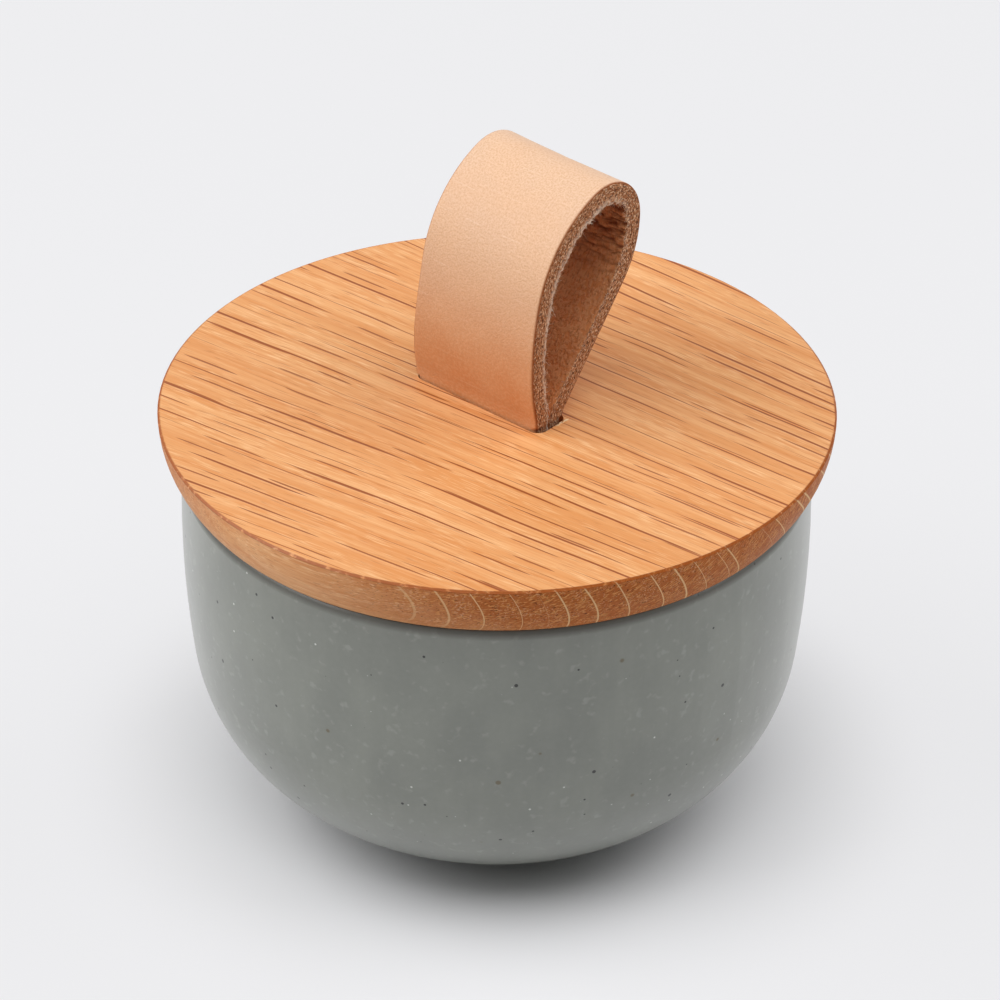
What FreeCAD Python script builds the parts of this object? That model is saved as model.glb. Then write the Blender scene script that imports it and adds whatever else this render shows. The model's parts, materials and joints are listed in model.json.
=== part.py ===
import FreeCAD, Part
import math
import os
import Sketcher
from FreeCAD import Rotation, Vector

# Salt crock: a stoneware crock with an oak lid, lifted by a leather loop.
# Millimetres. The floor is z = 0, +Z is up and the crock's axis is the Z axis.
# The slot and the wood's grain run along X, and the loop leans towards +Y.

SIZES = {
    # Crock: one wall arc from the rim down, then one bilge arc in to the foot ring
    "crock_height": 64,
    "belly_radius": 51.8,
    "belly_height": 50.3,
    "wall_arc": 189,
    "bilge_arc": 31.3,
    "crock_wall": 5,
    "foot_radius": 24.5,
    "foot_height": 2.1,
    "foot_width": 4,
    "foot_recess": 1.5,
    "foot_round": 0.7,
    "rim_round_out": 2.2,
    "rim_round_in": 1.2,
    # Lid: a disc whose top stands out past the belly, with an edge that curves in below it, and a plug
    "lid_overhang": 3.2,
    "lid_undercut": 3.3,
    "lid_thick": 9.3,
    "lid_edge_break": 0.3,
    "plug_depth": 7,
    "plug_clear": 1.5,
    "plug_round": 1,
    # Sealing ring in its groove round the plug
    "groove_depth": 2.2,
    "groove_height": 3.2,
    "groove_drop": 1.6,
    "seal_clear": 0.2,
    "seal_wall_gap": 0.25,
    "seal_round": 1,
    # Leather strap: both ends side by side in the slot, which lies a little aside of the lid's middle
    "strap_width": 25.6,
    "strap_aside": 1.5,
    "leather": 3.2,
    "leather_round": 1.6,
    "slot_clear": 0.2,
    "slot_end_clear": 0.8,
    "slot_corner": 1.8,
    "tail_below": 4,
    "flex_gap": 0.3,
    # Loop outline, from the line about which the loop flexes
    "flex_rise": 2,
    "root_gap": 0.2,
    "steep_arc": 46,
    "steep_middle": 11,
    "shoulder_arc": 21,
    "curl_arc": 8.6,
    "curl_out": 12.4,
    "curl_up": 28.2,
    "slant_arc": 17.5,
    # Wooden pin across the strap ends, in a groove under the plug
    "dowel_radius": 2.5,
    "dowel_length": 30,
    "dowel_clear": 0.15,
    "dowel_end_clear": 0.5,
    "dowel_rise": 2.9,
    "dowel_break": 0.4,
}

doc = FreeCAD.newDocument("salt_crock")
sheet = doc.addObject("Spreadsheet::Sheet", "Sizes")
for row, (name, value) in enumerate(SIZES.items(), 1):
    sheet.set(f"A{row}", name)
    sheet.set(f"B{row}", str(value))
    sheet.setAlias(f"B{row}", name)
doc.recompute()

# Sizes that follow from the sheet, as expressions
MOUTH_RADIUS = (
    "(Sizes.belly_radius - Sizes.wall_arc + sqrt((Sizes.wall_arc - Sizes.crock_wall)^2"
    " - (Sizes.crock_height - Sizes.belly_height)^2))"
)
LID_RADIUS = "(Sizes.belly_radius + Sizes.lid_overhang)"
LID_LOW_RADIUS = f"({LID_RADIUS} - Sizes.lid_undercut)"
PLUG_RADIUS = f"({MOUTH_RADIUS} - Sizes.plug_clear)"
GROOVE_RADIUS = f"({PLUG_RADIUS} - Sizes.groove_depth)"
GROOVE_MOUTH = f"({PLUG_RADIUS} + Sizes.groove_depth)"
ROOT_RADIUS = "(Sizes.leather + Sizes.root_gap)"
SLOT_WIDTH = f"(2 * ({ROOT_RADIUS} + Sizes.slot_clear))"
SLOT_LENGTH = "(Sizes.strap_width + 2 * Sizes.slot_end_clear)"
TAIL_TOP = f"(Sizes.lid_thick + Sizes.flex_rise - {ROOT_RADIUS} - Sizes.flex_gap)"
TAIL_BOTTOM = "(Sizes.plug_depth + Sizes.tail_below)"
DOWEL_DROP = "(Sizes.plug_depth - Sizes.dowel_rise)"
DOWEL_HOLE = "(Sizes.dowel_radius + Sizes.dowel_clear)"

# How a sketch numbers the points of a line or an arc, and its own axes and origin
START, END, CENTRE = range(1, 4)
X_AXIS, Y_AXIS = range(-1, -3, -1)
ORIGIN = (X_AXIS, START)

# Places closer together than this count as one
SAME_PLACE = 1e-4


def value(expression):
    """The number that an expression of the sheet's sizes gives."""
    return float(sheet.evalExpression(expression))


def new_body(label):
    """An empty body for one sub-part."""
    body = doc.addObject("PartDesign::Body", label)
    body.Label = label
    return body


def new_sketch(body, plane, name):
    """A sketch on one of the body's own origin planes."""
    sketch = body.newObject("Sketcher::SketchObject", name)
    support = next(feature for feature in body.Origin.OriginFeatures if feature.Role == plane)
    sketch.AttachmentSupport = [(support, "")]
    sketch.MapMode = "FlatFace"
    return sketch


def line(sketch, start, end):
    """Add a line and give its number in the sketch."""
    return sketch.addGeometry(Part.LineSegment(Vector(*start), Vector(*end)))


def arc(sketch, centre, radius, first, last):
    """Add an arc that runs counter-clockwise between two angles."""
    circle = Part.Circle(Vector(*centre), Vector(0, 0, 1), radius)
    return sketch.addGeometry(Part.ArcOfCircle(circle, first, last))


def relate(sketch, kind, *elements):
    """Add a relation between elements of the sketch."""
    sketch.addConstraint(Sketcher.Constraint(kind, *elements))


def measure(sketch, kind, *elements_and_expression):
    """Add a dimension whose value follows an expression of the sheet's sizes."""
    *elements, expression = elements_and_expression
    number = sketch.addConstraint(Sketcher.Constraint(kind, *elements, value(expression)))
    sketch.setExpression(f"Constraints[{number}]", expression)


def rectangle(sketch, low, high):
    """A closed upright rectangle: bottom, right, top and left lines."""
    corners = [low, (high[0], low[1]), high, (low[0], high[1])]
    sides = [line(sketch, corners[i], corners[(i + 1) % 4]) for i in range(4)]
    for side, following in zip(sides, sides[1:] + sides[:1]):
        relate(sketch, "Coincident", side, END, following, START)
    for side, kind in zip(sides, ("Horizontal", "Vertical", "Horizontal", "Vertical")):
        relate(sketch, kind, side)
    return sides


def revolve(body, kind, sketch, name):
    """Turn a sketch about the body's Z axis, as material or as a cut."""
    feature = body.newObject(f"PartDesign::{kind}", name)
    feature.Profile = sketch
    feature.ReferenceAxis = (sketch, ["V_Axis"])
    feature.Angle = 360
    return feature


def cut_both_ways(body, sketch, name, length):
    """A pocket of the given length, half to each side of its sketch."""
    doc.recompute()
    before = body.Shape.Volume
    pocket = body.newObject("PartDesign::Pocket", name)
    pocket.Profile = sketch
    pocket.SideType = "Symmetric"
    pocket.setExpression("Length", length)
    doc.recompute()
    if body.Shape.Volume >= before:
        raise RuntimeError(f"{name} cuts nothing")
    return pocket


def dress(body, kind, size, wanted):
    """Round or break every edge of the body for which wanted(edge) holds."""
    doc.recompute()
    base = body.Tip
    names = [f"Edge{i}" for i, edge in enumerate(base.Shape.Edges, 1) if wanted(edge)]
    feature = body.newObject(f"PartDesign::{kind}", f"{body.Name}_{kind}")
    feature.Base = (base, names)
    feature.setExpression("Radius" if kind == "Fillet" else "Size", size)
    doc.recompute()


def is_ring(edge, radius, height):
    """Whether an edge is a circle about the Z axis with this radius, at this height."""
    curve = edge.Curve
    if not isinstance(curve, Part.Circle):
        return False
    return abs(curve.Radius - radius) < SAME_PLACE and abs(curve.Center.z - height) < SAME_PLACE


def is_upright(edge):
    """Whether an edge is a straight line along Z."""
    if not isinstance(edge.Curve, Part.Line):
        return False
    run = edge.Vertexes[-1].Point - edge.Vertexes[0].Point
    return math.hypot(run.x, run.y) < SAME_PLACE


def sit_on_rim(piece):
    """Place a piece that is drawn from the lid's lower face."""
    piece.setExpression("Placement.Base.z", "Sizes.crock_height")


def stand_in_slot(piece):
    """Place a piece that is drawn from the middle of the slot's length."""
    piece.setExpression("Placement.Base.x", "-Sizes.strap_aside")


def bearing(centre, point):
    """The angle of a point about a centre."""
    return math.atan2(point[1] - centre[1], point[0] - centre[0])


def make_crock():
    """The thrown crock: wall and bilge arcs of one thickness, a foot ring and a rounded rim."""
    body = new_body("crock_body")
    sketch = new_sketch(body, "XZ_Plane", "crock_profile")
    height = value("Sizes.crock_height")
    foot = value("Sizes.foot_radius")
    foot_top = value("Sizes.foot_height")
    foot_inside = value("Sizes.foot_radius - Sizes.foot_width")
    recess = value("Sizes.foot_recess")
    wall = value("Sizes.crock_wall")
    wall_arc = value("Sizes.wall_arc")
    bilge_arc = value("Sizes.bilge_arc")
    belly = value("Sizes.belly_radius")
    wall_centre = (belly - wall_arc, value("Sizes.belly_height"))
    bilge_centre = (belly - bilge_arc, foot_top + bilge_arc)
    joint = bearing(wall_centre, bilge_centre)
    foot_angle = bearing(bilge_centre, (foot, foot_top))
    rim_angle = math.asin((height - wall_centre[1]) / wall_arc)
    floor = bilge_centre[1] - bilge_arc + wall

    foot_side = line(sketch, (foot, 0), (foot, foot_top))
    bilge = arc(sketch, bilge_centre, bilge_arc, foot_angle, joint)
    outside = arc(sketch, wall_centre, wall_arc, joint, rim_angle)
    rim = line(sketch, (belly, height), (belly - wall, height))
    inside = arc(sketch, wall_centre, wall_arc - wall, joint, rim_angle)
    hollow = arc(sketch, bilge_centre, bilge_arc - wall, -math.pi / 2, joint)
    well_floor = line(sketch, (bilge_centre[0], floor), (0, floor))
    axis = line(sketch, (0, floor), (0, recess))
    underside = line(sketch, (0, recess), (foot_inside, recess))
    foot_inner_side = line(sketch, (foot_inside, recess), (foot_inside, 0))
    foot_face = line(sketch, (foot_inside, 0), (foot, 0))

    relate(sketch, "Coincident", foot_side, END, bilge, START)
    relate(sketch, "Tangent", bilge, END, outside, START)
    relate(sketch, "Coincident", outside, END, rim, START)
    relate(sketch, "Coincident", rim, END, inside, END)
    relate(sketch, "Coincident", inside, CENTRE, outside, CENTRE)
    relate(sketch, "Coincident", hollow, CENTRE, bilge, CENTRE)
    relate(sketch, "Tangent", inside, START, hollow, END)
    relate(sketch, "Tangent", hollow, START, well_floor, START)
    chain = (well_floor, axis, underside, foot_inner_side, foot_face, foot_side)
    for first, second in zip(chain, chain[1:]):
        relate(sketch, "Coincident", first, END, second, START)
    for flat in (rim, well_floor, underside, foot_face):
        relate(sketch, "Horizontal", flat)
    for upright in (foot_side, axis, foot_inner_side):
        relate(sketch, "Vertical", upright)
    relate(sketch, "PointOnObject", axis, START, Y_AXIS)
    relate(sketch, "PointOnObject", foot_face, START, X_AXIS)

    measure(sketch, "DistanceX", *ORIGIN, foot_side, START, "Sizes.foot_radius")
    measure(sketch, "DistanceY", *ORIGIN, bilge, START, "Sizes.foot_height")
    measure(sketch, "DistanceX", foot_face, START, foot_face, END, "Sizes.foot_width")
    measure(sketch, "DistanceY", *ORIGIN, underside, START, "Sizes.foot_recess")
    measure(sketch, "DistanceY", *ORIGIN, rim, START, "Sizes.crock_height")
    measure(sketch, "DistanceY", *ORIGIN, outside, CENTRE, "Sizes.belly_height")
    measure(sketch, "DistanceX", outside, CENTRE, *ORIGIN, "Sizes.wall_arc - Sizes.belly_radius")
    measure(sketch, "Radius", outside, "Sizes.wall_arc")
    measure(sketch, "Radius", bilge, "Sizes.bilge_arc")
    measure(sketch, "Radius", inside, "Sizes.wall_arc - Sizes.crock_wall")
    revolve(body, "Revolution", sketch, "crock_turned")
    doc.recompute()

    rim_outside = sketch.getPoint(rim, START).x
    rim_inside = sketch.getPoint(rim, END).x
    dress(body, "Fillet", "Sizes.rim_round_out", lambda edge: is_ring(edge, rim_outside, height))
    dress(body, "Fillet", "Sizes.rim_round_in", lambda edge: is_ring(edge, rim_inside, height))
    dress(
        body,
        "Fillet",
        "Sizes.foot_round",
        lambda edge: is_ring(edge, foot, 0) or is_ring(edge, foot_inside, 0),
    )
    return body


def make_lid():
    """The turned lid: disc and plug, with the groove, the slot and the pin's groove cut into it."""
    body = new_body("lid")
    thick = value("Sizes.lid_thick")
    top = value(LID_RADIUS)
    low = value(LID_LOW_RADIUS)
    plug = value(PLUG_RADIUS)
    depth = value("Sizes.plug_depth")
    edge_arc = (thick**2 + (top - low) ** 2) / (2 * (top - low))

    sketch = new_sketch(body, "XZ_Plane", "lid_profile")
    axis = line(sketch, (0, -depth), (0, thick))
    face = line(sketch, (0, thick), (top, thick))
    edge = arc(sketch, (top - edge_arc, thick), edge_arc, -math.asin(thick / edge_arc), 0)
    under = line(sketch, (low, 0), (plug, 0))
    plug_side = line(sketch, (plug, 0), (plug, -depth))
    plug_face = line(sketch, (plug, -depth), (0, -depth))
    relate(sketch, "Coincident", axis, END, face, START)
    relate(sketch, "Coincident", face, END, edge, END)
    relate(sketch, "Coincident", edge, START, under, START)
    relate(sketch, "Coincident", under, END, plug_side, START)
    relate(sketch, "Coincident", plug_side, END, plug_face, START)
    relate(sketch, "Coincident", plug_face, END, axis, START)
    relate(sketch, "PointOnObject", axis, START, Y_AXIS)
    relate(sketch, "PointOnObject", under, START, X_AXIS)
    relate(sketch, "Vertical", axis)
    relate(sketch, "Vertical", plug_side)
    for flat in (face, under, plug_face):
        relate(sketch, "Horizontal", flat)
    relate(sketch, "Horizontal", edge, CENTRE, edge, END)
    measure(sketch, "DistanceY", *ORIGIN, face, START, "Sizes.lid_thick")
    measure(sketch, "DistanceX", *ORIGIN, face, END, LID_RADIUS)
    measure(sketch, "DistanceX", *ORIGIN, edge, START, LID_LOW_RADIUS)
    measure(sketch, "DistanceX", *ORIGIN, under, END, PLUG_RADIUS)
    measure(sketch, "DistanceY", axis, START, *ORIGIN, "Sizes.plug_depth")
    revolve(body, "Revolution", sketch, "lid_turned")
    dress(body, "Chamfer", "Sizes.lid_edge_break", lambda ring: is_ring(ring, top, thick))
    dress(body, "Fillet", "Sizes.plug_round", lambda ring: is_ring(ring, plug, -depth))

    groove_radius = value(GROOVE_RADIUS)
    groove_mouth = value(GROOVE_MOUTH)
    groove_top = -value("Sizes.groove_drop")
    groove_low = groove_top - value("Sizes.groove_height")
    sketch = new_sketch(body, "XZ_Plane", "seal_groove")
    low_side, outer_side, top_side, inner_side = rectangle(
        sketch, (groove_radius, groove_low), (groove_mouth, groove_top)
    )
    measure(sketch, "DistanceX", *ORIGIN, inner_side, START, GROOVE_RADIUS)
    measure(sketch, "DistanceX", *ORIGIN, outer_side, START, GROOVE_MOUTH)
    measure(sketch, "DistanceY", top_side, START, *ORIGIN, "Sizes.groove_drop")
    measure(sketch, "DistanceY", outer_side, START, outer_side, END, "Sizes.groove_height")
    revolve(body, "Groove", sketch, "seal_groove_cut")

    aside = value("Sizes.strap_aside")
    half_length = value(SLOT_LENGTH) / 2
    half_width = value(SLOT_WIDTH) / 2
    sketch = new_sketch(body, "XY_Plane", "slot")
    low_side, right_side, top_side, left_side = rectangle(
        sketch, (-half_length - aside, -half_width), (half_length - aside, half_width)
    )
    measure(sketch, "DistanceX", low_side, START, *ORIGIN, f"{SLOT_LENGTH} / 2 + Sizes.strap_aside")
    measure(sketch, "DistanceY", low_side, START, *ORIGIN, f"{SLOT_WIDTH} / 2")
    measure(sketch, "DistanceX", low_side, START, low_side, END, SLOT_LENGTH)
    measure(sketch, "DistanceY", right_side, START, right_side, END, SLOT_WIDTH)
    cut_both_ways(body, sketch, "slot_cut", "2 * (Sizes.lid_thick + Sizes.plug_depth)")
    dress(body, "Fillet", "Sizes.slot_corner", is_upright)

    hole = value(DOWEL_HOLE)
    drop = value(DOWEL_DROP)
    sketch = new_sketch(body, "XZ_Plane", "dowel_groove")
    ceiling = arc(sketch, (-aside, -drop), hole, 0, math.pi)
    left = line(sketch, (-aside - hole, -drop), (-aside - hole, -depth - hole))
    bottom = line(sketch, (-aside - hole, -depth - hole), (hole - aside, -depth - hole))
    right = line(sketch, (hole - aside, -depth - hole), (hole - aside, -drop))
    relate(sketch, "Tangent", ceiling, END, left, START)
    relate(sketch, "Coincident", left, END, bottom, START)
    relate(sketch, "Coincident", bottom, END, right, START)
    relate(sketch, "Tangent", right, END, ceiling, START)
    relate(sketch, "Horizontal", bottom)
    relate(sketch, "Vertical", left)
    measure(sketch, "Radius", ceiling, DOWEL_HOLE)
    measure(sketch, "DistanceX", ceiling, CENTRE, *ORIGIN, "Sizes.strap_aside")
    measure(sketch, "DistanceY", ceiling, CENTRE, *ORIGIN, DOWEL_DROP)
    measure(sketch, "DistanceY", bottom, START, *ORIGIN, f"Sizes.plug_depth + {DOWEL_HOLE}")
    cut_both_ways(body, sketch, "dowel_groove_cut", "Sizes.dowel_length + 2 * Sizes.dowel_end_clear")
    sit_on_rim(body)
    return body


def make_seal():
    """The sealing ring, with a rounded lip towards the crock's wall."""
    body = new_body("seal_ring")
    inner = f"({GROOVE_RADIUS} + Sizes.seal_clear)"
    outer = f"({MOUTH_RADIUS} - Sizes.seal_wall_gap)"
    drop = "(Sizes.groove_drop + Sizes.seal_clear)"
    height = "(Sizes.groove_height - 2 * Sizes.seal_clear)"
    top = -value(drop)
    low = top - value(height)
    sketch = new_sketch(body, "XZ_Plane", "seal_profile")
    low_side, outer_side, top_side, inner_side = rectangle(sketch, (value(inner), low), (value(outer), top))
    measure(sketch, "DistanceX", *ORIGIN, inner_side, START, inner)
    measure(sketch, "DistanceX", *ORIGIN, outer_side, START, outer)
    measure(sketch, "DistanceY", top_side, START, *ORIGIN, drop)
    measure(sketch, "DistanceY", outer_side, START, outer_side, END, height)
    revolve(body, "Revolution", sketch, "seal_moulded")
    lip = value(outer)
    dress(body, "Fillet", "Sizes.seal_round", lambda edge: is_ring(edge, lip, top) or is_ring(edge, lip, low))
    sit_on_rim(body)
    return body


def make_strap_end(label, side):
    """One end of the strap, against the middle of the slot, with the hole for the pin."""
    body = new_body(label)
    leather = value("Sizes.leather")
    low, high = sorted((0, side * leather))
    sketch = new_sketch(body, "YZ_Plane", f"{label}_profile")
    low_side, right_side, top_side, left_side = rectangle(
        sketch, (low, -value(TAIL_BOTTOM)), (high, value(TAIL_TOP))
    )
    middle = left_side if side > 0 else right_side
    relate(sketch, "PointOnObject", middle, START, Y_AXIS)
    measure(sketch, "DistanceX", low_side, START, low_side, END, "Sizes.leather")
    measure(sketch, "DistanceY", low_side, START, *ORIGIN, TAIL_BOTTOM)
    measure(sketch, "DistanceY", *ORIGIN, top_side, START, TAIL_TOP)
    pad = body.newObject("PartDesign::Pad", f"{label}_leather")
    pad.Profile = sketch
    pad.SideType = "Symmetric"
    pad.setExpression("Length", "Sizes.strap_width")
    dress(
        body,
        "Fillet",
        "Sizes.leather_round",
        lambda edge: is_upright(edge) and abs(edge.CenterOfMass.y - side * leather) < SAME_PLACE,
    )
    sketch = new_sketch(body, "XZ_Plane", f"{label}_punch")
    hole = sketch.addGeometry(Part.Circle(Vector(0, -value(DOWEL_DROP)), Vector(0, 0, 1), value(DOWEL_HOLE)))
    relate(sketch, "PointOnObject", hole, CENTRE, Y_AXIS)
    measure(sketch, "Radius", hole, DOWEL_HOLE)
    measure(sketch, "DistanceY", hole, CENTRE, *ORIGIN, DOWEL_DROP)
    cut_both_ways(body, sketch, f"{label}_hole", "4 * Sizes.leather")
    sit_on_rim(body)
    stand_in_slot(body)
    return body


def meeting_point(centre, reach, other, other_reach):
    """The point at the two given distances from two centres, to the left of the line between them."""
    across = other - centre
    along = (reach**2 - other_reach**2 + across.Length**2) / (2 * across.Length)
    rise = math.sqrt(reach**2 - along**2)
    unit = across.normalize()
    return centre + unit * along + Vector(-unit.y, unit.x, 0) * rise


def loop_outline(body, name, inset):
    """The loop's outline, or the same outline set in by the leather's thickness.

    Five tangent arcs and one straight leaf. From the root, which is round about the flex line, the steep
    leaf rises on the steep arc, bends over on the shoulder arc, turns back on the curl arc, and the slant
    leaf comes down on the slant arc and straight back to the root.
    """
    radius = {
        "root": f"{ROOT_RADIUS} - {inset}",
        "steep": f"Sizes.steep_arc - {inset}",
        "shoulder": f"Sizes.shoulder_arc - {inset}",
        "curl": f"Sizes.curl_arc - {inset}",
        "slant": f"Sizes.slant_arc - {inset}",
    }
    size = {part: value(expression) for part, expression in radius.items()}
    middle = value("Sizes.steep_middle")
    steep_out = math.sqrt((size["steep"] - size["root"]) ** 2 - middle**2)
    at = {
        "root": Vector(0, 0),
        "steep": Vector(steep_out, middle),
        "curl": Vector(value("Sizes.curl_out"), value("Sizes.curl_up")),
    }
    at["slant"] = at["curl"] - Vector(size["slant"] - size["curl"], 0)
    at["shoulder"] = meeting_point(
        at["steep"], size["steep"] - size["shoulder"], at["curl"], size["shoulder"] - size["curl"]
    )
    reach = (size["root"] - size["slant"]) / at["slant"].Length
    slant_angle = bearing(at["root"], at["slant"]) - math.acos(reach)
    outward = Vector(math.cos(slant_angle), math.sin(slant_angle))
    root_angle = bearing(at["steep"], at["root"])
    shoulder_angle = bearing(at["steep"], at["shoulder"]) % (2 * math.pi)
    curl_angle = bearing(at["shoulder"], at["curl"])

    sketch = new_sketch(body, "YZ_Plane", name)
    root = arc(sketch, at["root"], size["root"], root_angle, slant_angle)
    steep = arc(sketch, at["steep"], size["steep"], shoulder_angle, root_angle)
    shoulder = arc(sketch, at["shoulder"], size["shoulder"], curl_angle, shoulder_angle)
    curl = arc(sketch, at["curl"], size["curl"], 0, curl_angle)
    slant = arc(sketch, at["slant"], size["slant"], slant_angle, 0)
    leaf = line(sketch, at["slant"] + outward * size["slant"], outward * size["root"])
    relate(sketch, "Coincident", root, CENTRE, *ORIGIN)
    relate(sketch, "Tangent", root, START, steep, END)
    relate(sketch, "Tangent", steep, START, shoulder, END)
    relate(sketch, "Tangent", shoulder, START, curl, END)
    relate(sketch, "Tangent", curl, START, slant, END)
    relate(sketch, "Tangent", slant, START, leaf, START)
    relate(sketch, "Tangent", leaf, END, root, END)
    relate(sketch, "Horizontal", curl, CENTRE, slant, CENTRE)
    for part, number in zip(radius, (root, steep, shoulder, curl, slant)):
        measure(sketch, "Radius", number, radius[part])
    measure(sketch, "DistanceY", *ORIGIN, steep, CENTRE, "Sizes.steep_middle")
    measure(sketch, "DistanceX", *ORIGIN, curl, CENTRE, "Sizes.curl_out")
    measure(sketch, "DistanceY", *ORIGIN, curl, CENTRE, "Sizes.curl_up")
    return sketch


def make_loop():
    """The finger loop above the slot, whose round root turns about the flex line."""
    body = new_body("leather_loop")
    pad = body.newObject("PartDesign::Pad", "loop_leather")
    pad.Profile = loop_outline(body, "loop_outside", "0")
    pad.SideType = "Symmetric"
    pad.setExpression("Length", "Sizes.strap_width")
    inside = loop_outline(body, "loop_inside", "Sizes.leather")
    cut_both_ways(body, inside, "loop_finger_gap", "2 * Sizes.strap_width")
    body.setExpression("Placement.Base.z", "Sizes.crock_height + Sizes.lid_thick + Sizes.flex_rise")
    stand_in_slot(body)
    return body


def make_dowel():
    """The wooden pin that keeps the strap ends from pulling up through the slot."""
    body = new_body("strap_dowel")
    pin = body.newObject("PartDesign::AdditiveCylinder", "dowel_pin")
    pin.setExpression("Radius", "Sizes.dowel_radius")
    pin.setExpression("Height", "Sizes.dowel_length")
    dress(body, "Chamfer", "Sizes.dowel_break", lambda edge: isinstance(edge.Curve, Part.Circle))
    body.Placement.Rotation = Rotation(Vector(1, 0, 0), -90)
    body.setExpression("Placement.Base.y", "-Sizes.dowel_length / 2")
    body.setExpression("Placement.Base.z", f"Sizes.crock_height - {DOWEL_DROP}")
    stand_in_slot(body)
    return body


pieces = [
    make_crock(),
    make_lid(),
    make_seal(),
    make_strap_end("strap_end_front", -1),
    make_strap_end("strap_end_back", 1),
    make_loop(),
    make_dowel(),
]
doc.recompute()

for item in doc.Objects:
    if "Invalid" in item.State or "Error" in item.State:
        raise RuntimeError(f"{item.Label} is {item.State}")

os.makedirs("parts", exist_ok=True)
for piece in pieces:
    shape = piece.Shape
    if shape.isNull() or not shape.isValid() or len(shape.Solids) != 1:
        raise RuntimeError(f"{piece.Label} isn't one sound solid")
    shape.exportStep(f"parts/{piece.Label}.step")
    box = shape.BoundBox
    print(f"{piece.Label}: {shape.Volume:.0f} mm3, z {box.ZMin:.2f} to {box.ZMax:.2f}")
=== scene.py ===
import json
import math
import random
import bpy
from mathutils import Matrix, Vector, noise


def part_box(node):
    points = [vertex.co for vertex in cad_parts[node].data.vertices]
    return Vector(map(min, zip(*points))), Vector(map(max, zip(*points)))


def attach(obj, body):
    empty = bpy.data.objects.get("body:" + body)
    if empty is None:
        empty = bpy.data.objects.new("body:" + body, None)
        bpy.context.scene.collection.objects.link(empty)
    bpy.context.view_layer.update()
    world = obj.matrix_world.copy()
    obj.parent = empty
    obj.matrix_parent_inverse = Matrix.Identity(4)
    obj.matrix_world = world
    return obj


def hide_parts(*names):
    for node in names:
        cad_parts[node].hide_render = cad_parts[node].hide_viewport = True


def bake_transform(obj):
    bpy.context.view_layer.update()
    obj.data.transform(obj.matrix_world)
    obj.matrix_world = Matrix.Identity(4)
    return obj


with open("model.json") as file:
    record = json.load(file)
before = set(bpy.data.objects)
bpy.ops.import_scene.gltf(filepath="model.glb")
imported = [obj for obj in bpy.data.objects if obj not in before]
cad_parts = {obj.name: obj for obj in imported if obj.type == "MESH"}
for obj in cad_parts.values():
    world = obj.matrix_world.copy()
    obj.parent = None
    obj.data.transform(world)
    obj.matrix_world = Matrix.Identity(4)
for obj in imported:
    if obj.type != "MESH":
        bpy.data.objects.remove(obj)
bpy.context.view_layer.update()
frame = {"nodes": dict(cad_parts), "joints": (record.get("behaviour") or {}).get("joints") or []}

MM = 0.001

# The strap is drawn wider than its solid by twice this, all at its left edge, where it fills the slot
STRAP_FILLS = 0.38

# What the frame says of the crock, the lid, the strap and the line that the loop flexes about
lid_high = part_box("lid")[1] / MM
loop_low, loop_high = (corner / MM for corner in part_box("leather_loop"))
tail_low, tail_high = (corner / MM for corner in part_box("strap_end_front"))
flex_joint = next(joint for joint in frame["joints"] if joint["name"] == "loop_flex")
FLEX_UP = flex_joint["pos_m"][2] / MM
LID_TOP = lid_high.z
LID_RADIUS = lid_high.x
STRAP_RIGHT = loop_high.x
RIM_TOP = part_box("crock_body")[1].z / MM
STRAP_HALF = (loop_high.x - loop_low.x) / 2 + STRAP_FILLS
LEATHER = tail_high.y - tail_low.y
TAIL_OUT = -(tail_low.y + tail_high.y) / 2
TAIL_BOTTOM = tail_low.z

# The camera, as the photograph was taken
VIEW_TURN = math.radians(41.5)
VIEW_DOWN = math.radians(31.77)
VIEW_FAR = 641.7
VIEW_PITCH = math.radians(1.446)
VIEW_YAW = math.radians(0.061)
VIEW_ROLL = math.radians(0.476)
LENS = 142.37


# Small helpers

def linear(colour):
    """A colour written as sRGB hex, as the linear RGBA that shaders take."""
    parts = [int(colour[i:i + 2], 16) / 255 for i in (1, 3, 5)]
    return [c / 12.92 if c <= 0.04045 else ((c + 0.055) / 1.055) ** 2.4 for c in parts] + [1.0]


def add(tree, kind, inputs=None, **settings):
    """One shader node. settings are its properties.

    inputs are its sockets by name or number, each given as a value, a hex colour, a node or a socket.
    """
    node = tree.nodes.new("ShaderNode" + kind)
    for name, value in settings.items():
        setattr(node, name, value)
    for key, value in (inputs or {}).items():
        socket = node.inputs[key] if isinstance(key, int) else next(
            s for s in node.inputs if s.name == key and s.enabled)
        if isinstance(value, bpy.types.Node):
            value = next(s for s in value.outputs if s.enabled)
        if isinstance(value, bpy.types.NodeSocket):
            tree.links.new(value, socket)
        else:
            socket.default_value = linear(value) if isinstance(value, str) else value
    return node


def bare_finish(name):
    """A material with an empty node tree."""
    material = bpy.data.materials.new(name)
    material.use_nodes = True
    material.node_tree.nodes.clear()
    return material, material.node_tree


def place_in_mm(tree):
    """The place on the piece in millimetres, which stays with the piece when it moves."""
    where = add(tree, "TexCoord").outputs["Object"]
    return add(tree, "VectorMath", {0: where, "Scale": 1 / MM}, operation="SCALE")


def mottle(tree, place, blotch, low, high, most=1.0, detail=2.0):
    """Soft blotches, blotch millimetres each way: 0 where the noise is at low, rising to most at high."""
    scaled = add(tree, "VectorMath", {0: place, 1: blotch}, operation="DIVIDE")
    cloud = add(tree, "TexNoise", {"Vector": scaled, "Scale": 1.0, "Detail": detail})
    limits = {"Value": cloud, "From Min": low, "From Max": high, "To Max": most}
    return add(tree, "MapRange", limits, interpolation_type="SMOOTHSTEP")


def paint(tree, ground, *coats):
    """A ground colour under coats of others, each given as the share of it that shows and its colour."""
    for share, colour in coats:
        ground = add(tree, "Mix", {"Factor": share, "A": ground, "B": colour}, data_type="RGBA")
    return ground


# Oak: a board sawn from one side of the log, turned, sanded and oiled

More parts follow.
